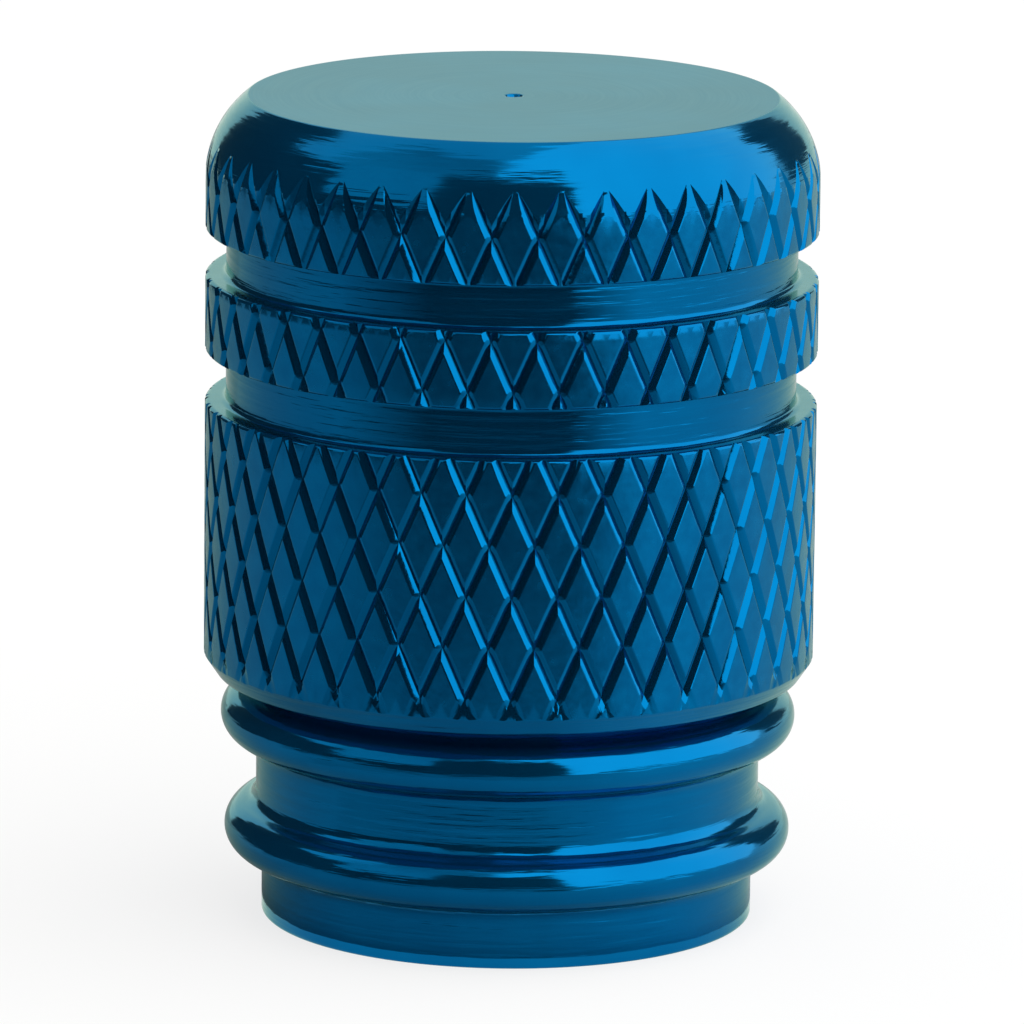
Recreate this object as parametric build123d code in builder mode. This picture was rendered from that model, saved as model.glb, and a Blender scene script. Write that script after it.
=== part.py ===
from build123d import *
import os
from math import ceil, cos, pi, radians, sin, tan

# Valve thread and the bore it is cut in
thread_bore_diameter = 7.0
thread_length = 9.1
mouth_chamfer = 0.5
drill_point_angle = 118.0

# Sealing washer and its relief past the thread
washer_thickness = 1.4
washer_hole_diameter = 4.0
washer_lap = 0.4
washer_clearance = 0.05

# Lip, neck and the two round beads, with a cove beside each
lip_wall = 1.34
lip_height = 1.22
lip_edge_chamfer = 0.06
neck_step = 0.12
neck_height = 1.27
bead_radius = 0.51
lower_bead_rise = 0.62
upper_bead_rise = 0.7
cove_radius = 0.28
undercut_height = 0.34

# Grip: three bands parted by two turned grooves
grip_diameter = 12.0
tall_band_height = 5.43
lower_groove_height = 0.98
middle_band_height = 1.51
upper_groove_height = 0.89
top_band_height = 1.04
groove_depth = 0.41
grip_foot_height = 0.4
grip_foot_inset = 0.3

# Crown
shoulder_height = 1.6
shoulder_width = 0.81
centre_mark_diameter = 0.34
centre_mark_depth = 0.12

# Diamond knurl, rolled over all three bands in one pass
knurl_count = 42
knurl_helix_angle = 24.2
knurl_depth = 0.15
knurl_groove_width = 0.26
knurl_run_out = 0.26
knurl_margin = 0.07
knurl_start_angle = -93.8

# Radii
bore_radius = thread_bore_diameter / 2
washer_radius = bore_radius + washer_lap
seat_radius = washer_radius + washer_clearance
lip_radius = bore_radius + lip_wall
neck_radius = lip_radius + neck_step
grip_radius = grip_diameter / 2
groove_radius = grip_radius - groove_depth
crown_radius = grip_radius - shoulder_width
knurl_root_radius = grip_radius - knurl_depth

# Levels, from the mouth up
lower_bead_z = lip_height + bead_radius
upper_bead_z = lower_bead_z + bead_radius + neck_height + bead_radius
grip_z = upper_bead_z + bead_radius + undercut_height
foot_z = grip_z + grip_foot_height
tall_top_z = grip_z + tall_band_height
middle_z = tall_top_z + lower_groove_height
middle_top_z = middle_z + middle_band_height
top_band_z = middle_top_z + upper_groove_height
shoulder_z = top_band_z + top_band_height
top_z = shoulder_z + shoulder_height
seat_z = mouth_chamfer + thread_length
washer_z = seat_z + washer_clearance
seat_end_z = washer_z + washer_thickness
drill_point_z = seat_end_z + bore_radius / tan(radians(drill_point_angle / 2))

# Knurl lattice: rows of diamonds, each row half a pitch round from the row below
half_pitch_angle = 180 / knurl_count
half_pitch = pi * grip_radius / knurl_count
row_height = half_pitch / tan(radians(knurl_helix_angle))
first_row_z = foot_z + knurl_margin + knurl_run_out
row_count = ceil((top_z - first_row_z) / row_height) + 1
land_share = 1 - knurl_groove_width / (2 * half_pitch * cos(radians(knurl_helix_angle)))
land_plane = grip_radius * cos(radians(half_pitch_angle * land_share))
apex_rise = (land_plane - knurl_root_radius) / (1 - land_share)
run_out_radius = knurl_root_radius + knurl_depth * row_height / knurl_run_out


def lattice_point(row, half_steps, radius):
    """Return the point of the knurl lattice on a row, so many half pitches round, at a radius."""
    angle = radians(knurl_start_angle + half_steps * half_pitch_angle)
    return Vector(radius * cos(angle), radius * sin(angle), first_row_z + row * row_height)


def root_radius(row):
    """Return the radius at the bottom of the grooves; below the first row it is clear of the blank."""
    return knurl_root_radius if row >= 0 else run_out_radius


def groove_crossing(row, half_steps):
    """Return the point where two grooves cross."""
    return lattice_point(row, half_steps, root_radius(row))


def facet(*corners):
    """Return the plane face with these corners."""
    return Face(Wire.make_polygon(corners, close=True))


def diamond(row, half_steps):
    """Return the four flanks of one diamond and its land, which the lowest rows leave to the blank."""
    apex_radius = root_radius(row) + apex_rise
    apex = lattice_point(row, half_steps, apex_radius)
    outward = lattice_point(0, half_steps, 1) - lattice_point(0, half_steps, 0)
    roots = [
        groove_crossing(row, half_steps + 1),
        groove_crossing(row + 1, half_steps),
        groove_crossing(row, half_steps - 1),
        groove_crossing(row - 1, half_steps),
    ]
    next_roots = roots[1:] + roots[:1]
    if row <= 0:
        return [facet(apex, a, b) for a, b in zip(roots, next_roots)]
    reach = apex_radius - land_plane
    land = [apex + (root - apex) * (reach / (apex_radius - root.dot(outward))) for root in roots]
    next_land = land[1:] + land[:1]
    return [facet(*land)] + [facet(*quad) for quad in zip(roots, next_roots, next_land, land)]


def end_fan(low_row, tip):
    """Return the faces from the zigzag end of the lattice to a point on the axis."""
    steps = range(2 * knurl_count)
    rim = [groove_crossing(low_row if (low_row + step) % 2 else low_row + 1, step) for step in steps]
    return [facet(tip, a, b) for a, b in zip(rim, rim[1:] + rim[:1])]


# Knurl form: a faceted bar with every diamond on it, wider than the blank below the knurl
facets = end_fan(-2, Vector(0, 0, -4 * top_z)) + end_fan(row_count - 1, Vector(0, 0, 2 * top_z))
for row in range(-1, row_count):
    for step in range(knurl_count):
        facets += diamond(row, 2 * step + row % 2)
knurl_form = Solid(Shell(facets))

# Cap body: the turned blank, the knurl, then the bore and the centre mark
with BuildPart() as cap_body:
    with BuildSketch(Plane.XZ):
        with BuildLine():
            wall = Polyline(
                (0, grip_z),
                (grip_radius - grip_foot_inset, grip_z),
                (grip_radius, foot_z),
                (grip_radius, tall_top_z),
                (groove_radius, tall_top_z),
                (groove_radius, middle_z),
                (grip_radius, middle_z),
                (grip_radius, middle_top_z),
                (groove_radius, middle_top_z),
                (groove_radius, top_band_z),
                (grip_radius, top_band_z),
                (grip_radius, shoulder_z),
            )
            TangentArc(wall @ 1, (crown_radius, top_z), tangent=wall % 1)
            Polyline((crown_radius, top_z), (0, top_z), (0, grip_z))
        make_face()
        Rectangle(lip_radius, lower_bead_z, align=Align.MIN)
        chamfer(vertices().group_by(Axis.Y)[0].sort_by(Axis.X)[-1], lip_edge_chamfer)
        with Locations((0, lower_bead_z)):
            Rectangle(neck_radius, grip_z - lower_bead_z, align=Align.MIN)
        with Locations(
            (neck_radius + lower_bead_rise - bead_radius, lower_bead_z),
            (neck_radius + upper_bead_rise - bead_radius, upper_bead_z),
        ):
            Circle(bead_radius)
        below_grip = vertices().filter_by_position(Axis.Y, lip_height / 2, upper_bead_z)
        beside_beads = below_grip.filter_by_position(Axis.X, lip_radius - neck_step, neck_radius + neck_step)
        fillet(beside_beads, cove_radius)
    revolve(axis=Axis.Z)
    add(knurl_form, mode=Mode.INTERSECT)
    with BuildSketch(Plane.XZ):
        with BuildLine():
            Polyline(
                (0, 0),
                (bore_radius + mouth_chamfer, 0),
                (bore_radius, mouth_chamfer),
                (bore_radius, seat_z),
                (seat_radius, seat_z),
                (seat_radius, seat_end_z),
                (bore_radius, seat_end_z),
                (0, drill_point_z),
                close=True,
            )
        make_face()
        with BuildLine():
            Polyline(
                (0, top_z),
                (centre_mark_diameter / 2, top_z),
                (0, top_z - centre_mark_depth),
                close=True,
            )
        make_face()
    revolve(axis=Axis.Z, mode=Mode.SUBTRACT)

# Sealing washer: a flat ring against the end of its relief
with BuildPart() as sealing_washer:
    with BuildSketch(Plane.XY.offset(washer_z)):
        Circle(washer_radius)
        Circle(washer_hole_diameter / 2, mode=Mode.SUBTRACT)
    extrude(amount=washer_thickness)

os.makedirs("parts", exist_ok=True)
cap_body.part.label = "cap_body"
sealing_washer.part.label = "sealing_washer"
export_step(cap_body.part, "parts/cap_body.step")
export_step(sealing_washer.part, "parts/sealing_washer.step")
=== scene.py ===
"""Looks of a blue anodised tyre valve cap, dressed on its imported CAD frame."""

import logging
from dataclasses import dataclass, field
from enum import Enum
from itertools import product
from math import acos, asin, atan2, cos, degrees, pi, radians, sin, tan
from typing import Any, Sequence

import bmesh
import bpy
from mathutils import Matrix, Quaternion, Vector


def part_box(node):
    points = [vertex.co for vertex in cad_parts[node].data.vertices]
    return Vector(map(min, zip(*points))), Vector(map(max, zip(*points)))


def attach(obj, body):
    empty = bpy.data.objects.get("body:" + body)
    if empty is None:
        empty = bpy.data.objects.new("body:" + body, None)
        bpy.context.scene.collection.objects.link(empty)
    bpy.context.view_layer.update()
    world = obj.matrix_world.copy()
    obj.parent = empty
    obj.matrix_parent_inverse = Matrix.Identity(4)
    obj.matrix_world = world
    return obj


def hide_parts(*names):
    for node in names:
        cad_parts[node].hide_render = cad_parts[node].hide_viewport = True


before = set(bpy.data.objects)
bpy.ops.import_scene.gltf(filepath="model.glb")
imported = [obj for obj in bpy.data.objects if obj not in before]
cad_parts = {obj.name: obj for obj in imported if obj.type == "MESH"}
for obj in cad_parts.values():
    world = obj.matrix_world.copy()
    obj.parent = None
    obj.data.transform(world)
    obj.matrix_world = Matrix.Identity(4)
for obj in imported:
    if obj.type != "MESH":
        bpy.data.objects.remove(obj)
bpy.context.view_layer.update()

MM = 0.001
WHITE = "#FFFFFF"
LOG = logging.getLogger("valve_cap")

Point = tuple[float, float]
Span = tuple[float, float]
Colour = tuple[float, float, float, float]


class Marks(Enum):
    """Direction in which the cutting tool moved while it left its feed marks."""

    ALONG_AXIS = "along"
    OUTWARD = "outward"


class Cut(Enum):
    """Ways of working one solid with another."""

    KEEP_INSIDE = "INTERSECT"
    TAKE_AWAY = "DIFFERENCE"


class Shade(Enum):
    """Shades of the studio's cards, from dark to pale."""

    BLACK = "#181818"
    CHARCOAL = "#303030"
    SLATE = "#484848"
    LEAD = "#606060"
    STONE = "#A0A0A0"
    ASH = "#B0B0B0"
    SILVER = "#B8B8B8"
    PEARL = "#CCCCCC"
    CHALK = "#D0D0D0"
    PAPER = "#DCDCDC"


def linear(hex_colour: str) -> Colour:
    """Turn an sRGB colour into the linear one that a shader takes.

    Args:
        hex_colour: Six hex digits after a hash sign.

    Returns:
        Red, green, blue and a full alpha.
    """
    shares = [int(hex_colour[start:start + 2], 16) / 255 for start in (1, 3, 5)]
    red, green, blue = (s / 12.92 if s <= 0.04045 else ((s + 0.055) / 1.055) ** 2.4 for s in shares)
    return red, green, blue, 1.0


def add_node(
    tree: bpy.types.NodeTree, kind: str, settings: dict[str, Any], **inputs: Any
) -> bpy.types.Node:
    """Add one node with its settings and links.

    Args:
        tree: Node tree that takes the node.
        kind: Class name of the node.
        settings: Values for the node's own properties.
        **inputs: An input's name with spaces as underscores, or "in" and its number, and the value
            or the output socket that goes there.

    Returns:
        The new node.
    """
    node = tree.nodes.new(kind)
    for name, value in settings.items():
        setattr(node, name, value)
    for name, value in inputs.items():
        socket = node.inputs[int(name[2:]) if name[2:].isdigit() else name.replace("_", " ")]
        if isinstance(value, bpy.types.NodeSocket):
            tree.links.new(value, socket)
        else:
            socket.default_value = value
    return node


def empty_material(name: str) -> tuple[bpy.types.Material, bpy.types.NodeTree]:
    """Make a material with no nodes in it.

    Args:
        name: Name of the material.

    Returns:
        The material and its node tree.
    """
    material = bpy.data.materials.new(name)
    material.use_nodes = True
    material.node_tree.nodes.clear()
    return material, material.node_tree


def piece_from(name: str, points: Sequence[Vector], faces: Sequence[Sequence[int]]) -> bpy.types.Object:
    """Make an object from points in millimetres and link it into the scene.

    Args:
        name: Name of the piece.
        points: Corners, in millimetres.
        faces: Corner numbers of each face, counter-clockwise from outside.

    Returns:
        The new object, in metres.
    """
    mesh = bpy.data.meshes.new(name)
    mesh.from_pydata([point * MM for point in points], [], faces)
    piece = bpy.data.objects.new(name, mesh)
    bpy.context.scene.collection.objects.link(piece)
    return piece


def direction(azimuth: float, elevation: float) -> Vector:
    """Work out which way an azimuth and an elevation point.

    Args:
        azimuth: Degrees from the camera's side; 90 is to its right.
        elevation: Degrees above the floor.

    Returns:
        The unit vector that way.
    """
    turn, rise = radians(azimuth), radians(elevation)
    return Vector((sin(turn) * cos(rise), -cos(turn) * cos(rise), sin(rise)))


def arc(centre: Point, radius: float, start: float, end: float, steps: int) -> list[Point]:
    """Lay points along an arc of an outline.

    Args:
        centre: Radius and height of its centre.
        radius: Radius of the arc.
        start: Angle of its first point, in degrees; 0 is outward and 90 is up.
        end: Angle of its last point.
        steps: Number of chords.

    Returns:
        Radius and height of each point.
    """
    turns = [radians(start + (end - start) * step / steps) for step in range(steps + 1)]
    return [(centre[0] + radius * cos(turn), centre[1] + radius * sin(turn)) for turn in turns]


def held(outline: Sequence[Point], reach: float, shortest: float) -> list[Point]:
    """Put a point close to each end of every long straight run, so that it shades flat.

    Args:
        outline: Radius and height of each corner, in millimetres.
        reach: Distance of the new points from the ends.
        shortest: Length up to which a run is left as it is.

    Returns:
        The outline with the new points.
    """
    points = [outline[0]]
    for start, end in zip(outline, outline[1:]):
        run = Vector(end) - Vector(start)
        if run.length > shortest:
            inward = run.normalized() * reach
            points += [tuple(Vector(start) + inward), tuple(Vector(end) - inward)]
        points.append(end)
    return points


def lathe(name: str, outline: Sequence[Point], segments: int) -> bpy.types.Object:
    """Turn an outline about the axis.

    Args:
        name: Name of the piece.
        outline: Radius and height of each corner, in millimetres, up the outside. It starts and ends
            on the axis, or closes on itself for a ring.
        segments: Number of steps round the axis.

    Returns:
        The closed solid.
    """
    points: list[Vector] = []
    rings: list[list[int]] = []
    for radius, height in outline:
        steps = segments if radius > 0 else 1
        rings.append([len(points) + step % steps for step in range(segments + 1)])
        turns = [2 * pi * step / segments for step in range(steps)]
        points += [Vector((radius * cos(turn), radius * sin(turn), height)) for turn in turns]
    faces = []
    closed = outline[0][0] > 0
    for low, high in zip(rings, rings[1:] + rings[:1] if closed else rings[1:]):
        for step in range(segments):
            corners = [low[step], low[step + 1], high[step + 1], high[step]]
            faces.append(list(dict.fromkeys(corners)))
    return piece_from(name, points, faces)


def work(solid: bpy.types.Object, tool: bpy.types.Object, cut: Cut) -> None:
    """Work a solid with a tool, which is used up.

    Args:
        solid: Solid that is changed.
        tool: Solid that cuts it; its faces bring their own finish.
        cut: What is kept.
    """
    modifier = solid.modifiers.new("cut", "BOOLEAN")
    modifier.object = tool
    modifier.operation = cut.value
    modifier.solver = "MANIFOLD"
    modifier.material_mode = "TRANSFER"
    done = solid.evaluated_get(bpy.context.evaluated_depsgraph_get())
    mesh = bpy.data.meshes.new_from_object(done)
    solid.modifiers.clear()
    solid.data = mesh
    bpy.data.objects.remove(tool)


def close_seams(piece: bpy.types.Object, reach: float) -> None:
    """Join the corners that a cut has left all but touching, and drop the slivers between them.

    Args:
        piece: Object to work on.
        reach: Corners nearer than this are joined, in millimetres.
    """
    mesh = bmesh.new()
    mesh.from_mesh(piece.data)
    bmesh.ops.remove_doubles(mesh, verts=mesh.verts, dist=reach * MM)
    bmesh.ops.dissolve_degenerate(mesh, edges=mesh.edges, dist=reach * MM)
    bmesh.ops.triangulate(mesh, faces=mesh.faces)
    mesh.to_mesh(piece.data)
    mesh.free()


def soften(piece: bpy.types.Object, sharpest: float) -> None:
    """Shade a piece smooth, apart from its sharp edges.

    Args:
        piece: Object to work on.
        sharpest: Degrees up to which an edge may turn and still look smooth.
    """
    piece.data.shade_smooth()
    piece.data.set_sharp_from_angle(angle=radians(sharpest))


@dataclass(frozen=True)
class AnodisedAluminium:
    """Aluminium cut bright, then anodised, dyed blue and sealed, sizes in mm."""

    # The metal shines through the clear dyed film, so the reflections themselves are blue, and only at
    # a grazing angle do they turn pale. Feed marks stretch each reflection across them.
    name: str
    marks: Marks
    dye: str = "#00679D"
    deep_dye: str = "#006095"
    grazing_tint: str = "#DCFFE0"
    film_haze: float = 0.11
    film_gloss: float = 0.15
    roughness: Span = (0.08, 0.15)
    # Real feed marks lie about 0.05 mm apart, too fine to show, so they are drawn coarser
    mark_spacing: float = 0.13
    mark_depth: float = 0.018
    mark_length: float = 2.5
    mark_detail: float = 3.0
    mark_range: Span = (0.3, 0.7)
    # Slow changes in how much dye the film took up
    cloud_size: float = 2.2
    cloud_detail: float = 2.0
    cloud_range: Span = (0.35, 0.65)

    def scores(self, tree: bpy.types.NodeTree, place: bpy.types.NodeSocket) -> bpy.types.NodeSocket:
        """Draw the feed marks.

        Args:
            tree: Node tree that takes the nodes.
            place: Place on the cap, in millimetres.

        Returns:
            The socket with the marks' height, as a share of their depth.
        """
        axes = add_node(tree, "ShaderNodeSeparateXYZ", {}, in0=place).outputs
        across = axes["Z"]
        if self.marks is Marks.OUTWARD:
            flat = add_node(tree, "ShaderNodeCombineXYZ", {}, X=axes["X"], Y=axes["Y"]).outputs[0]
            outward = add_node(tree, "ShaderNodeVectorMath", {"operation": "LENGTH"}, in0=flat)
            across = outward.outputs["Value"]
        ways = ((axes["X"], self.mark_length), (axes["Y"], self.mark_length), (across, self.mark_spacing))
        east, north, step = (
            add_node(tree, "ShaderNodeMath", {"operation": "DIVIDE"}, in0=way, in1=size).outputs[0]
            for way, size in ways
        )
        feed = add_node(tree, "ShaderNodeCombineXYZ", {}, X=east, Y=north, Z=step).outputs[0]
        noise = add_node(tree, "ShaderNodeTexNoise", {}, Vector=feed, Scale=1.0, Detail=self.mark_detail)
        return noise.outputs[0]

    def colour(self, tree: bpy.types.NodeTree, place: bpy.types.NodeSocket) -> bpy.types.NodeSocket:
        """Mix the two depths of dye in soft clouds.

        Args:
            tree: Node tree that takes the nodes.
            place: Place on the cap, in millimetres.

        Returns:
            The socket with the colour.
        """
        clouds = add_node(
            tree, "ShaderNodeTexNoise", {},
            Vector=place, Scale=1 / self.cloud_size, Detail=self.cloud_detail,
        ).outputs[0]
        low, high = self.cloud_range
        share = add_node(
            tree, "ShaderNodeMapRange", {}, Value=clouds, From_Min=low, From_Max=high
        ).outputs[0]
        return add_node(
            tree, "ShaderNodeMix", {"data_type": "RGBA"},
            Factor=share, in6=linear(self.deep_dye), in7=linear(self.dye),
        ).outputs[2]

    def material(self) -> bpy.types.Material:
        """Make the finish.

        Returns:
            Its material.
        """
        material, tree = empty_material(self.name)
        metres = add_node(tree, "ShaderNodeTexCoord", {}).outputs["Object"]
        place = add_node(
            tree, "ShaderNodeVectorMath", {"operation": "SCALE"}, in0=metres, Scale=1 / MM
        ).outputs[0]
        scores = self.scores(tree, place)
        (low, high), (smooth, rough) = self.mark_range, self.roughness
        sheen = add_node(
            tree, "ShaderNodeMapRange", {},
            Value=scores, From_Min=low, From_Max=high, To_Min=smooth, To_Max=rough,
        ).outputs[0]
        bump = add_node(
            tree, "ShaderNodeBump", {}, Height=scores, Distance=self.mark_depth * MM, Strength=1.0
        ).outputs[0]
        shader = add_node(
            tree, "ShaderNodeBsdfPrincipled", {},
            Base_Color=self.colour(tree, place), Metallic=1 - self.film_haze, Roughness=sheen,
            Specular_IOR_Level=self.film_gloss, Specular_Tint=linear(self.grazing_tint), Normal=bump,
        )
        add_node(tree, "ShaderNodeOutputMaterial", {}, Surface=shader.outputs[0])
        return material


@dataclass(frozen=True)
class SheetRubber:
    """Black rubber stamped from sheet, sizes in mm."""

    # Carbon black makes it dark and matt, and a faint bloom greys it in specks
    name: str = "stamped_sheet_rubber"
    colour: str = "#1B1B1C"
    bloom: str = "#2A2A2B"
    roughness: float = 0.72
    # The real grain is about a quarter as wide, too fine to show, so it is drawn coarser
    grain: float = 0.08
    grain_depth: float = 0.006
    grain_detail: float = 4.0

    def material(self) -> bpy.types.Material:
        """Make the finish.

        Returns:
            Its material.
        """
        material, tree = empty_material(self.name)
        place = add_node(tree, "ShaderNodeTexCoord", {}).outputs["Object"]
        grain = add_node(
            tree, "ShaderNodeTexNoise", {},
            Vector=place, Scale=1 / (self.grain * MM), Detail=self.grain_detail,
        ).outputs[0]
        colour = add_node(
            tree, "ShaderNodeMix", {"data_type": "RGBA"},
            Factor=grain, in6=linear(self.colour), in7=linear(self.bloom),
        ).outputs[2]
        bump = add_node(
            tree, "ShaderNodeBump", {}, Height=grain, Distance=self.grain_depth * MM, Strength=1.0
        ).outputs[0]
        shader = add_node(
            tree, "ShaderNodeBsdfPrincipled", {},
            Base_Color=colour, Roughness=self.roughness, Normal=bump,
        )
        add_node(tree, "ShaderNodeOutputMaterial", {}, Surface=shader.outputs[0])
        return material


@dataclass(frozen=True)
class DiamondKnurl:
    """Form of the rolled knurl: a bar with crossed grooves and flat lands between them, sizes in mm."""

    land_radius: float
    top: float
    count: int = 42
    helix_angle: float = 24.2
    start_angle: float = -93.8
    depth: float = 0.088
    groove_width: float = 0.22
    # Share of a flank's width that is rounded, each side of the land's edge
    edge_rounding: float = 0.14
    # The grooves start at this height and are full after the run-out; on the shoulder they bite deeper
    fade_foot: float = 5.34
    run_out: float = 0.26
    shoulder: float = 14.72
    shoulder_bite: float = 0.11
    # The bar reaches past the blank: its first row, and its end points as multiples of the cap's height
    first_row: int = -2
    tips: Span = (-5.0, 3.0)
    # Cells of the grid from the bottom of a groove to the land
    flank_cells: int = 2

    @property
    def row_height(self) -> float:
        """Height from one row of diamonds to the next."""
        return pi * self.land_radius / self.count / tan(radians(self.helix_angle))

    @property
    def pitch(self) -> float:
        """Distance between neighbouring grooves, square to them."""
        return 2 * pi * self.land_radius / self.count * cos(radians(self.helix_angle))

    def stops(self) -> list[float]:
        """Choose the grid lines across a diamond, close together at the grooves' edges.

        Returns:
            Shares of the pitch, from the bottom of one groove to the bottom of the next.
        """
        edge, soft = self.groove_width / 2 / self.pitch, self.edge_rounding
        near = [0.0, (1 - soft) * edge, (1 + soft) * edge, (1 + 2 * soft) * edge, 0.5]
        return near + [1 - stop for stop in near[-2::-1]]

    def groove(self, share: float) -> float:
        """Work out how deep a groove is.

        Args:
            share: Distance from its bottom, as a share of the pitch.

        Returns:
            The depth, as a share of the full one.
        """
        out = min(share, 1 - share) * self.pitch / (self.groove_width / 2)
        soft = self.edge_rounding
        if out >= 1 + soft:
            return 0.0
        return 1 - out if out < 1 - soft else (1 + soft - out) ** 2 / (4 * soft)

    def point(self, half_steps: float, row: float, along: float, across: float) -> Vector:
        """Place a surface point of the diamond whose lowest corner is given.

        Args:
            half_steps: Half pitches round the axis to the lowest corner.
            row: Rows up to the lowest corner.
            along: Share of the way along the groove that rises to the right.
            across: Share of the way along the groove that rises to the left.

        Returns:
            The point, in millimetres.
        """
        turn = radians(self.start_angle + (half_steps + along - across) * 180 / self.count)
        height = self.fade_foot + self.run_out + (row + along + across) * self.row_height
        strength = min(max((height - self.fade_foot) / self.run_out, 0.0), 1.0)
        bite = self.shoulder_bite * max(height - self.shoulder, 0.0) ** 2
        groove = max(self.groove(along), self.groove(across))
        radius = self.land_radius - bite - strength * self.depth * groove
        return Vector((radius * cos(turn), radius * sin(turn), height))

    def bar(self, name: str, land: bpy.types.Material, flank: bpy.types.Material) -> bpy.types.Object:
        """Build the bar, which tapers to points on the axis far above and below.

        Args:
            name: Name of the object.
            land: Finish of the lands.
            flank: Finish of the grooves' flanks.

        Returns:
            The closed solid.
        """
        stops = self.stops()
        last = len(stops) - 1
        last_row = int((self.top - self.fade_foot) / self.row_height) + 1
        points: list[Vector] = []
        numbers: dict[tuple[int, int, int, int], int] = {}

        def corner(half_steps: int, row: int, i: int, j: int) -> int:
            """Number a grid corner, which neighbouring diamonds share.

            Args:
                half_steps: Half pitches round the axis to the diamond's lowest corner.
                row: Rows up to the diamond's lowest corner.
                i: Stop along the groove that rises to the right.
                j: Stop along the groove that rises to the left.

            Returns:
                The corner's number.
            """
            if i == last:
                half_steps, row, i = half_steps + 1, row + 1, 0
            if j == last:
                half_steps, row, j = half_steps - 1, row + 1, 0
            key = (half_steps % (2 * self.count), row, i, j)
            if key not in numbers:
                numbers[key] = len(points)
                points.append(self.point(half_steps, row, stops[i], stops[j]))
            return numbers[key]

        faces = []
        rolled: list[bool] = []
        foot: list[int] = []
        head: list[int] = []
        for row in range(self.first_row, last_row + 1):
            for half_steps in range((row + 1) % 2, 2 * self.count, 2):
                for i, j in product(range(last), repeat=2):
                    a, b = corner(half_steps, row, i, j), corner(half_steps, row, i + 1, j)
                    c, d = corner(half_steps, row, i + 1, j + 1), corner(half_steps, row, i, j + 1)
                    # The diagonal runs along the mitre of two grooves
                    mitred = (i < last / 2) == (j < last / 2)
                    faces += [(a, b, c), (a, c, d)] if mitred else [(a, b, d), (b, c, d)]
                    rolled += 2 * [min(i, j, last - 1 - i, last - 1 - j) < self.flank_cells]
                if row == self.first_row:
                    foot += [corner(half_steps, row, 0, j) for j in range(last, 0, -1)]
                    foot += [corner(half_steps, row, i, 0) for i in range(last)]
                if row == last_row:
                    head += [corner(half_steps, row, i, last) for i in range(last)]
                    head += [corner(half_steps, row, last, j) for j in range(last, 0, -1)]
        low_tip, high_tip = len(points), len(points) + 1
        points += [Vector((0, 0, tip * self.top)) for tip in self.tips]
        faces += [(b, a, low_tip) for a, b in zip(foot, foot[1:] + foot[:1])]
        faces += [(a, b, high_tip) for a, b in zip(head, head[1:] + head[:1])]
        bar = piece_from(name, points, faces)
        bar.data.materials.append(land)
        bar.data.materials.append(flank)
        for face, is_flank in zip(bar.data.polygons, rolled):
            face.material_index = int(is_flank)
        return bar


@dataclass(frozen=True)
class ValveThread:
    """Tap for the right-hand valve thread 8V1, sizes in mm."""

    pitch: float = 0.794
    crest_radius: float = 3.89
    foot_radius: float = 3.42
    crest_width: float = 0.1
    flank_angle: float = 30.0
    segments: int = 120

    def tap(self, name: str, low: float, high: float) -> bpy.types.Object:
        """Build the tap.

        Args:
            name: Name of the object.
            low: Height of its first ridge.
            high: Height that its last ridge stays below.

        Returns:
            The closed solid.
        """
        half_crest = self.crest_width / 2
        half_foot = half_crest + (self.crest_radius - self.foot_radius) * tan(radians(self.flank_angle))
        ridge = [
            (self.foot_radius, -half_foot),
            (self.crest_radius, -half_crest),
            (self.crest_radius, half_crest),
            (self.foot_radius, half_foot),
        ]
        corners = len(ridge)
        turns = int((high - low) / self.pitch) - 1
        starts = [low + turn * self.pitch for turn in range(turns + 2)]
        levels = [(radius, start + rise) for start in starts for radius, rise in ridge]
        points = []
        for radius, rise in levels:
            for step in range(self.segments):
                share = step / self.segments
                turn = 2 * pi * share
                height = rise + share * self.pitch
                points.append(Vector((radius * cos(turn), radius * sin(turn), height)))

        def number(level: int, step: int) -> int:
            """Return the number of a corner; a full turn leads to the next ridge."""
            return (level + corners * (step // self.segments)) * self.segments + step % self.segments

        top = len(levels) - corners - 1
        faces = []
        for level, step in product(range(top), range(self.segments)):
            low_pair = number(level, step), number(level, step + 1)
            high_pair = number(level + 1, step + 1), number(level + 1, step)
            faces.append(low_pair + high_pair)
        low_tip, high_tip = len(points), len(points) + 1
        points += [Vector((0, 0, low - self.pitch)), Vector((0, 0, high + self.pitch))]
        foot = [number(0, step) for step in range(self.segments)]
        foot += [number(level, 0) for level in range(corners, 0, -1)]
        head = [number(top, step) for step in range(self.segments)]
        head += [number(top + level, 0) for level in range(corners, 0, -1)]
        faces += [(b, a, low_tip) for a, b in zip(foot, foot[1:] + foot[:1])]
        faces += [(a, b, high_tip) for a, b in zip(head, head[1:] + head[:1])]
        used = sorted({corner for face in faces for corner in face})
        places = {corner: place for place, corner in enumerate(used)}
        kept = [points[corner] for corner in used]
        return piece_from(name, kept, [[places[corner] for corner in face] for face in faces])


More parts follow.
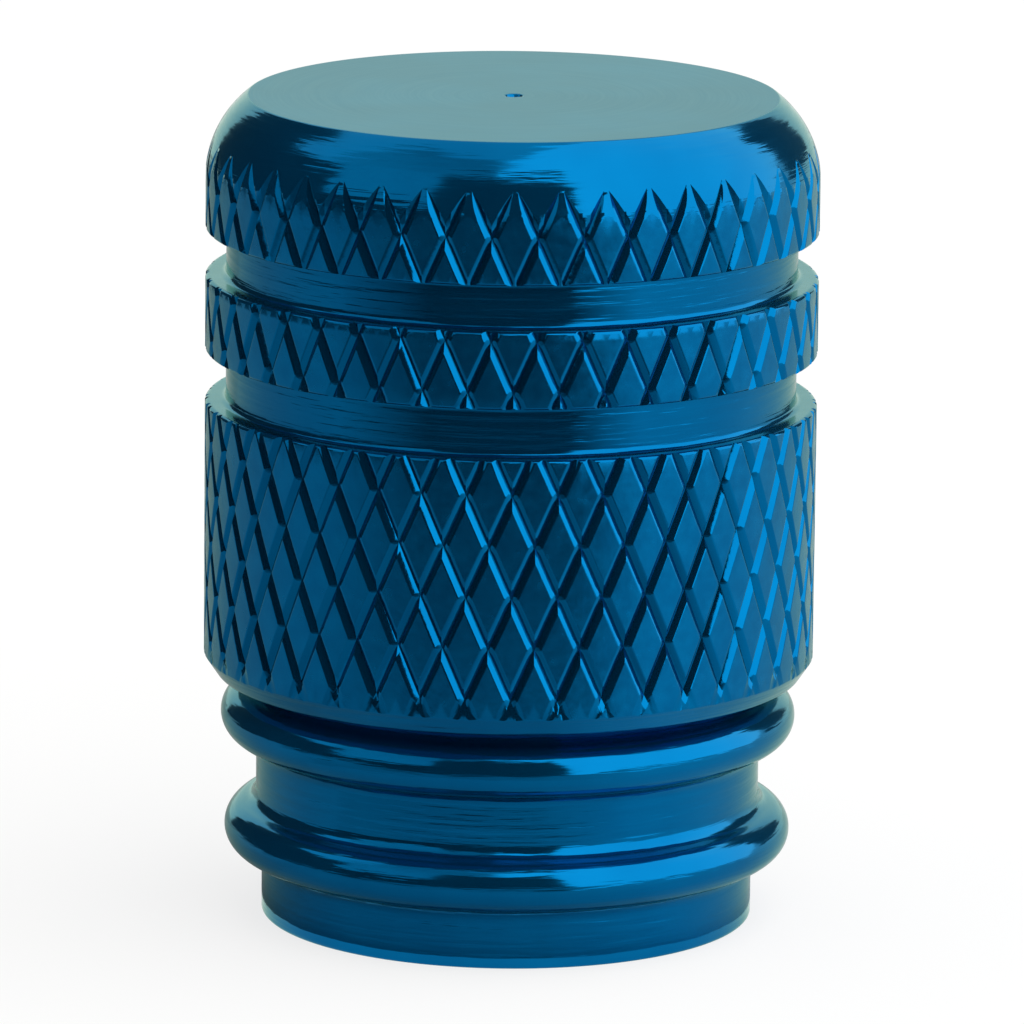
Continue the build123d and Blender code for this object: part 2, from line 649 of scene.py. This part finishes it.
@dataclass
class CapBody:
    """The cap's one turned, knurled and tapped piece, sizes in mm."""

    node: str = "cap_body"
    slot: str = "anodised_aluminium"

    # Lip, neck and beads
    lip_radius: float = 4.84
    lip_height: float = 1.22
    lip_edge: float = 0.06
    neck_radius: float = 4.96
    neck_height: float = 1.27
    bead_radius: float = 0.51
    bead_rises: tuple[float, float] = (0.62, 0.7)
    cove_radius: float = 0.28
    undercut_height: float = 0.34

    # Grip
    tall_band: float = 5.43
    lower_groove: float = 0.98
    middle_band: float = 1.51
    upper_groove: float = 0.89
    groove_depth: float = 0.41
    tool_nose: float = 0.1
    rim_rounding: float = 0.09
    foot_height: float = 0.4
    foot_inset: float = 0.3
    foot_rounding: float = 0.08
    turning_allowance: float = 0.006

    # Crown; the centre mark's profile is in shares of its radius and depth, from its rim inwards
    shoulder_foot: float = 1.02
    shoulder_width: float = 0.81
    crown_rounding: float = 0.08
    centre_mark: Point = (0.17, 0.12)
    mark_profile: tuple[Point, ...] = ((1.15, 0.0), (1.0, 0.12), (0.72, 0.85), (0.0, 1.0))

    # Bore; the tap starts below the mouth
    bore_radius: float = 3.5
    mouth_chamfer: float = 0.5
    seat_radius: float = 3.95
    seat: Span = (9.6, 11.05)
    drill_point: float = 13.15
    tap_start: float = -1.5

    # Mesh: steps of the round stretches, and what keeps its shading clean
    segments: int = 252
    edge_steps: int = 3
    rim_steps: int = 4
    cove_steps: int = 10
    bead_steps: int = 28
    shoulder_steps: int = 24
    flat_margin: float = 0.03
    short_run: float = 0.15
    seam_reach: float = 0.0005
    sharp_angle: float = 33.0
    # A face is on the flat top where its height, as a share of the cap's, and its normal's rise pass this
    top_share: float = 0.99

    # Turned on a lathe: bright, with fine streaks round the cap that draw each reflection up and down
    turned: AnodisedAluminium = AnodisedAluminium("anodised_aluminium_turned", Marks.ALONG_AXIS)
    # Faced across the end: satin, so that the top shows one soft sheen and no sharp reflection
    faced: AnodisedAluminium = AnodisedAluminium(
        "anodised_aluminium_faced", Marks.OUTWARD,
        roughness=(0.28, 0.3), mark_spacing=0.05, mark_depth=0.00003,
    )
    # The drawn bar's own skin, left between the grooves: hazier and duller, an even mid blue in specks
    land: AnodisedAluminium = AnodisedAluminium(
        "anodised_aluminium_drawn", Marks.ALONG_AXIS, film_haze=0.14, roughness=(0.16, 0.28),
        mark_spacing=0.2, mark_depth=0.004, mark_length=0.2, cloud_size=0.4,
    )
    # Pressed in by the knurling wheels: burnished, so that each flank flashes bright or goes black
    flank: AnodisedAluminium = AnodisedAluminium(
        "anodised_aluminium_rolled", Marks.ALONG_AXIS, film_haze=0.06, roughness=(0.08, 0.12),
        mark_spacing=0.2, mark_depth=0.003, mark_length=0.2,
    )
    # Bored and tapped: as bright as the outside, with a glint along every turn of the thread
    tapped: AnodisedAluminium = AnodisedAluminium("anodised_aluminium_tapped", Marks.ALONG_AXIS)

    def __post_init__(self) -> None:
        """Take the overall sizes from the frame."""
        low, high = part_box(self.node)
        self.grip_radius = (high.x - low.x) / 2 / MM
        self.top = high.z / MM

    def bead(self, level: float, rise: float, below: float) -> list[Point]:
        """Draw the round of a bead, with the coves that join it to the walls below and above.

        Args:
            level: Height of its middle.
            rise: How far it stands out of the neck.
            below: Radius of the wall below it.

        Returns:
            Its points, upwards.
        """
        neck, cove = self.neck_radius, self.cove_radius
        reach = self.bead_radius + cove
        middle = neck + rise - self.bead_radius
        low, high = (acos((wall + cove - middle) / reach) for wall in (below, neck))
        low_cove = (below + cove, level - reach * sin(low))
        high_cove = (neck + cove, level + reach * sin(high))
        return [
            *arc(low_cove, cove, 180, 180 - degrees(low), self.cove_steps),
            *arc((middle, level), self.bead_radius, -degrees(low), degrees(high), self.bead_steps),
            *arc(high_cove, cove, 180 + degrees(high), 180, self.cove_steps),
        ]

    def turned_groove(self, low: float, height: float, outside: float) -> list[Point]:
        """Draw a groove between two bands, from the rounded rim below it to the one above.

        Args:
            low: Height of its lower wall.
            height: Height from wall to wall.
            outside: Radius of the bands.

        Returns:
            Its points, upwards.
        """
        floor, rim, nose = self.grip_radius - self.groove_depth, self.rim_rounding, self.tool_nose
        high = low + height
        return [
            *arc((outside - rim, low - rim), rim, 0, 90, self.rim_steps),
            *arc((floor + nose, low + nose), nose, 270, 180, self.rim_steps),
            *arc((floor + nose, high - nose), nose, 180, 90, self.rim_steps),
            *arc((outside - rim, high + rim), rim, 270, 360, self.rim_steps),
        ]

    def grip_foot(self, grip: float, outside: float) -> list[Point]:
        """Draw the chamfer at the foot of the grip, with its two soft edges.

        Args:
            grip: Height of the grip's lower face.
            outside: Radius of the bands.

        Returns:
            Its points, upwards.
        """
        soft = self.foot_rounding
        slope = degrees(atan2(self.foot_inset, self.foot_height))
        return [
            *arc((outside - self.foot_inset, grip + soft), soft, -90, -slope, self.edge_steps),
            *arc((outside - soft, grip + self.foot_height), soft, -slope, 0, self.edge_steps),
        ]

    def crown(self, start: float, outside: float) -> list[Point]:
        """Draw the shoulder's round, its soft edge and the centre mark.

        Args:
            start: Height at which the shoulder leaves the top band.
            outside: Radius of the bands.

        Returns:
            Its points, upwards and then inwards.
        """
        flat, soft = self.grip_radius - self.shoulder_width, self.crown_rounding
        rise, inset = self.top - start, outside - flat
        radius = (rise ** 2 + inset ** 2) / (2 * inset)
        steepest = degrees(asin(rise / radius))
        ease = soft * tan(radians(90 - steepest) / 2)
        end = steepest - degrees(ease / radius)
        mark_radius, mark_depth = self.centre_mark
        return [
            *arc((outside - radius, start), radius, 0, end, self.shoulder_steps),
            *arc((flat - ease, self.top - soft), soft, steepest, 90, self.rim_steps),
            *((out * mark_radius, self.top - down * mark_depth) for out, down in self.mark_profile),
        ]

    def blank(self) -> bpy.types.Object:
        """Turn the blank, a little proud where the knurl is cut in.

        Returns:
            The closed solid, dressed.
        """
        lower = self.lip_height + self.bead_radius
        upper = lower + 2 * self.bead_radius + self.neck_height
        grip = upper + self.bead_radius + self.undercut_height
        tall_top = grip + self.tall_band
        middle_top = tall_top + self.lower_groove + self.middle_band
        shoulder = middle_top + self.upper_groove + self.shoulder_foot
        outside = self.grip_radius + self.turning_allowance
        lip_edge = (self.lip_radius - self.lip_edge, self.lip_edge)
        outline = [
            (0, 0),
            *arc(lip_edge, self.lip_edge, -90, 0, self.edge_steps),
            *self.bead(lower, self.bead_rises[0], self.lip_radius),
            *self.bead(upper, self.bead_rises[1], self.neck_radius),
            (self.neck_radius, grip),
            *self.grip_foot(grip, outside),
            *self.turned_groove(tall_top, self.lower_groove, outside),
            *self.turned_groove(middle_top, self.upper_groove, outside),
            *self.crown(shoulder, outside),
        ]
        blank = lathe("turned_cap", held(outline, self.flat_margin, self.short_run), self.segments)
        blank.data.materials.append(self.turned.material())
        blank.data.materials.append(self.faced.material())
        top_level = self.top_share * self.top * MM
        for face in blank.data.polygons:
            face.material_index = int(face.normal.z > self.top_share and face.center.z > top_level)
        return blank

    def bore(self) -> bpy.types.Object:
        """Build the shape that is bored out of the blank; its chamfer runs on below the mouth.

        Returns:
            The closed solid.
        """
        mouth = self.bore_radius + 2 * self.mouth_chamfer
        seat_low, seat_high = self.seat
        outline = [
            (0, -self.mouth_chamfer),
            (mouth, -self.mouth_chamfer),
            (self.bore_radius, self.mouth_chamfer),
            (self.bore_radius, seat_low),
            (self.seat_radius, seat_low),
            (self.seat_radius, seat_high),
            (self.bore_radius, seat_high),
            (0, self.drill_point),
        ]
        return lathe("bore", outline, self.segments)

    def build(self) -> bpy.types.Object:
        """Make the cap: turn, knurl, bore and tap it.

        Returns:
            The finished piece, in place of its CAD node.
        """
        cap = self.blank()
        form = DiamondKnurl(self.grip_radius, self.top)
        knurl = form.bar("knurl", self.land.material(), self.flank.material())
        work(cap, knurl, Cut.KEEP_INSIDE)
        bore = self.bore()
        tap = ValveThread().tap("tap", self.tap_start, self.seat[1])
        tapped = self.tapped.material()
        for tool in (bore, tap):
            tool.data.materials.append(tapped)
            work(cap, tool, Cut.TAKE_AWAY)
        close_seams(cap, self.seam_reach)
        soften(cap, self.sharp_angle)
        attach(cap, "root")
        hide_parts(self.node)
        return cap


@dataclass
class SealingWasher:
    """Flat rubber ring at the blind end of the bore, sizes in mm."""

    node: str = "sealing_washer"
    slot: str = "black_rubber"
    hole_radius: float = 2.0
    edge_rounding: float = 0.1
    edge_steps: int = 4
    segments: int = 160
    sharp_angle: float = 40.0
    # Stamped from sheet: matt and nearly black, so that it only just shows in the bore
    rubber: SheetRubber = SheetRubber()

    def build(self) -> bpy.types.Object:
        """Make the washer.

        Returns:
            The finished piece, in place of its CAD node.
        """
        low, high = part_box(self.node)
        soft, steps = self.edge_rounding, self.edge_steps
        outer, inner = high.x / MM - soft, self.hole_radius + soft
        bottom, top = low.z / MM + soft, high.z / MM - soft
        outline = [
            *arc((outer, bottom), soft, -90, 0, steps),
            *arc((outer, top), soft, 0, 90, steps),
            *arc((inner, top), soft, 90, 180, steps),
            *arc((inner, bottom), soft, 180, 270, steps),
        ]
        washer = lathe("rubber_washer", outline, self.segments)
        washer.data.materials.append(self.rubber.material())
        soften(washer, self.sharp_angle)
        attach(washer, "root")
        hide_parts(self.node)
        return washer


@dataclass(frozen=True)
class SoftBox:
    """One soft lamp, turned to the cap, sizes in metres.

    Azimuth 0 is on the camera's side and 90 to its right; radiance 1 is the brightness of white paper.
    """

    name: str
    azimuth: float
    elevation: float
    distance: float
    width: float
    height: float
    radiance: float

    def place(self, target: Vector) -> bpy.types.Object:
        """Put the lamp up.

        Args:
            target: Point that it faces.

        Returns:
            The lamp.
        """
        lamp = bpy.data.lights.new(self.name, "AREA")
        lamp.shape = "RECTANGLE"
        lamp.size, lamp.size_y = self.width, self.height
        lamp.energy = self.radiance * pi * self.width * self.height
        box = bpy.data.objects.new(self.name, lamp)
        toward = direction(self.azimuth, self.elevation)
        box.location = target + toward * self.distance
        box.rotation_euler = toward.to_track_quat("Z", "Y").to_euler()
        bpy.context.scene.collection.objects.link(box)
        return box


@dataclass(frozen=True)
class Card:
    """A plain card that only reflections see: it lies on the floor and turns up at its far end.

    Azimuth 0 is on the camera's side and 90 to its right; lengths are in metres from the cap's axis.
    The shade runs evenly from the first azimuth to the last.
    """

    name: str
    shades: tuple[Shade, Shade]
    azimuths: Span
    near: float
    far: float
    height: float = 0.0
    lift: float = 0.0002
    steps: int = 12

    def place(self) -> bpy.types.Object:
        """Put the card up.

        Returns:
            The card.
        """
        rows = [(self.near, self.lift), (self.far, self.lift), (self.far, self.height + self.lift)]
        first, last = self.azimuths
        shares = [step / self.steps for step in range(self.steps + 1)]
        sides = [direction(first + (last - first) * share, 0) for share in shares]
        corners = [(side * away + Vector((0, 0, up))) / MM for side in sides for away, up in rows]
        across = len(rows)
        lowest = [number for number in range(len(corners) - across) if (number + 1) % across]
        faces = [(number, number + across, number + across + 1, number + 1) for number in lowest]
        card = piece_from(self.name, corners, faces)
        painted = card.data.color_attributes.new("shade", "FLOAT_COLOR", "POINT")
        start, end = (Vector(linear(shade.value)) for shade in self.shades)
        for number, spot in enumerate(painted.data):
            spot.color = start.lerp(end, shares[number // across])
        material, tree = empty_material(self.name)
        shade = add_node(tree, "ShaderNodeVertexColor", {"layer_name": "shade"}).outputs["Color"]
        paper = add_node(tree, "ShaderNodeBsdfDiffuse", {}, Color=shade).outputs[0]
        add_node(tree, "ShaderNodeOutputMaterial", {}, Surface=paper)
        card.data.materials.append(material)
        card.visible_camera = False
        card.visible_diffuse = False
        card.visible_shadow = False
        return card


# Distances of the cards' ends from the cap's axis, in metres
BESIDE_LIP = 0.0049
UNDER_GRIP = 0.012
NEAR = 0.025
MIDDLE = 0.042
EDGE = 0.15
WALL = 0.3


@dataclass
class Studio:
    """Floor, lamp, cards, white surroundings and camera, sizes in metres."""

    floor_radius: float = 1.5
    floor_opening: float = 0.0048
    floor_steps: int = 96
    floor_colour: str = "#F2F2F0"
    floor_whiteness: float = 0.75
    ambient: float = 0.8
    target: Vector = field(default_factory=lambda: Vector((0.000045, 0.0, 0.008014)))
    camera_elevation: float = 12.24
    camera_distance: float = 0.2
    camera_roll: float = 0.595
    camera_clip: Span = (0.01, 20.0)
    sensor_width: float = 36.0
    focal_pixels: float = 10174.0
    image_pixels: float = 1024.0
    lamps: tuple[SoftBox, ...] = (
        SoftBox(
            "right_softbox", azimuth=72, elevation=40, distance=0.30,
            width=0.74, height=0.56, radiance=1.15,
        ),
    )
    cards: tuple[Card, ...] = (
        # A dark field in front, which fades out to both sides, for the black in shoulder and flanks
        Card("front_flag", (Shade.CHARCOAL, Shade.CHARCOAL), (-32, 24), MIDDLE, EDGE, height=0.2),
        Card("front_left_card", (Shade.ASH, Shade.CHARCOAL), (-70, -32), MIDDLE, EDGE),
        Card("front_right_card", (Shade.CHARCOAL, Shade.PAPER), (24, 50), MIDDLE, EDGE),
        Card("middle_card", (Shade.LEAD, Shade.LEAD), (-32, 24), NEAR, MIDDLE),
        Card("middle_left_card", (Shade.ASH, Shade.LEAD), (-70, -32), NEAR, MIDDLE),
        Card("middle_right_card", (Shade.LEAD, Shade.PAPER), (24, 50), NEAR, MIDDLE),
        # The floor at the sides and behind, with painted shade as the metal reflects it: grey on the left,
        # away from the lamp, and pale on the right
        Card("left_card", (Shade.ASH, Shade.ASH), (-140, -70), BESIDE_LIP, EDGE),
        Card("right_card", (Shade.PAPER, Shade.CHALK), (50, 140), BESIDE_LIP, EDGE),
        Card("rear_card", (Shade.CHALK, Shade.STONE), (140, 220), BESIDE_LIP, EDGE),
        # The floor close in front, with painted shade where the cap shades it, for the undersides of the
        # beads and the lip
        Card("near_left_card", (Shade.STONE, Shade.STONE), (-70, 10), UNDER_GRIP, NEAR),
        Card("near_right_card", (Shade.STONE, Shade.PAPER), (10, 50), UNDER_GRIP, NEAR),
        Card("under_left_card", (Shade.SILVER, Shade.SILVER), (-70, 10), BESIDE_LIP, UNDER_GRIP),
        Card("under_right_card", (Shade.SILVER, Shade.PAPER), (10, 50), BESIDE_LIP, UNDER_GRIP),
        # Standing flags and a pale wall, for the darker left side and the shading of the top
        Card("left_low_flag", (Shade.BLACK, Shade.BLACK), (-76, -32), EDGE, EDGE, height=0.055),
        Card("left_flag", (Shade.CHARCOAL, Shade.CHARCOAL), (-115, -76), EDGE, EDGE, height=0.12),
        Card("rear_left_flag", (Shade.CHARCOAL, Shade.CHARCOAL), (-150, -115), EDGE, EDGE, height=0.2),
        Card("left_wall", (Shade.PEARL, Shade.PEARL), (-90, -8), WALL, WALL, height=1.0),
        Card("rear_right_flag", (Shade.SLATE, Shade.SLATE), (125, 152), EDGE, EDGE, height=0.1, lift=0.018),
    )

    def seen(self, tree: bpy.types.NodeTree) -> bpy.types.NodeSocket:
        """Pick out the rays that show the background: to the camera, in a reflection or through glass.

        Args:
            tree: Node tree that takes the nodes.

        Returns:
            The socket that says 1 for those rays and 0 for others.
        """
        rays = add_node(tree, "ShaderNodeLightPath", {}).outputs
        answer = rays["Is Camera Ray"]
        for kind in ("Is Glossy Ray", "Is Transmission Ray"):
            either = add_node(tree, "ShaderNodeMath", {"operation": "MAXIMUM"}, in0=answer, in1=rays[kind])
            answer = either.outputs[0]
        return answer

    def floor(self) -> bpy.types.Object:
        """Lay the pale floor, clear from below and open under the cap, so that the mouth can be seen.

        Returns:
            The floor.
        """
        sides = [direction(step * 360 / self.floor_steps, 0) for step in range(self.floor_steps)]
        corners = [side * away / MM for side in sides for away in (self.floor_opening, self.floor_radius)]
        count = len(corners)
        faces = [(n, n + 1, (n + 3) % count, (n + 2) % count) for n in range(0, count, 2)]
        floor = piece_from("floor", corners, faces)
        material, tree = empty_material("pale_paper")
        below = add_node(tree, "ShaderNodeNewGeometry", {}).outputs["Backfacing"]
        paper = add_node(tree, "ShaderNodeBsdfDiffuse", {}, Color=linear(self.floor_colour)).outputs[0]
        clear = add_node(tree, "ShaderNodeBsdfTransparent", {}).outputs[0]
        share = add_node(
            tree, "ShaderNodeMath", {"operation": "MULTIPLY"},
            in0=self.seen(tree), in1=self.floor_whiteness,
        ).outputs[0]
        glow = add_node(tree, "ShaderNodeEmission", {}, Color=linear(WHITE), Strength=1.0).outputs[0]
        white = add_node(tree, "ShaderNodeMixShader", {}, Fac=share, in1=paper, in2=glow).outputs[0]
        side = add_node(tree, "ShaderNodeMixShader", {}, Fac=below, in1=white, in2=clear).outputs[0]
        add_node(tree, "ShaderNodeOutputMaterial", {}, Surface=side)
        floor.data.materials.append(material)
        return floor

    def surroundings(self) -> None:
        """Make all round the studio white to the camera and in reflections, and dimmer as a light."""
        world = bpy.data.worlds.new("white_studio")
        world.use_nodes = True
        tree = world.node_tree
        tree.nodes.clear()
        strength = add_node(
            tree, "ShaderNodeMapRange", {}, Value=self.seen(tree), To_Min=self.ambient, To_Max=1.0
        ).outputs[0]
        glow = add_node(tree, "ShaderNodeBackground", {}, Color=linear(WHITE), Strength=strength).outputs[0]
        add_node(tree, "ShaderNodeOutputWorld", {}, Surface=glow)
        bpy.context.scene.world = world

    def camera(self) -> bpy.types.Object:
        """Set the camera up where the photograph was taken from.

        Returns:
            The camera.
        """
        lens = bpy.data.cameras.new("camera")
        lens.sensor_width = self.sensor_width
        lens.lens = self.focal_pixels / self.image_pixels * lens.sensor_width
        lens.clip_start, lens.clip_end = self.camera_clip
        camera = bpy.data.objects.new("camera", lens)
        back = direction(0, self.camera_elevation)
        camera.location = self.target + back * self.camera_distance
        camera.rotation_mode = "QUATERNION"
        roll = Quaternion((0, 0, 1), radians(self.camera_roll))
        camera.rotation_quaternion = (-back).to_track_quat("-Z", "Y") @ roll
        bpy.context.scene.collection.objects.link(camera)
        bpy.context.scene.camera = camera
        return camera

    def build(self) -> None:
        """Set up the whole studio."""
        self.floor()
        self.surroundings()
        for card in self.cards:
            card.place()
        for lamp in self.lamps:
            lamp.place(self.target)
        self.camera()
        bpy.context.scene.view_settings.view_transform = "Standard"


def main() -> None:
    """Build the cap, its washer and the studio, and log each piece's face count."""
    logging.basicConfig(level=logging.INFO)
    for maker in (CapBody(), SealingWasher()):
        piece = maker.build()
        LOG.info("%s: %d faces", piece.name, len(piece.data.polygons))
    Studio().build()


if __name__ == "__main__":
    main()
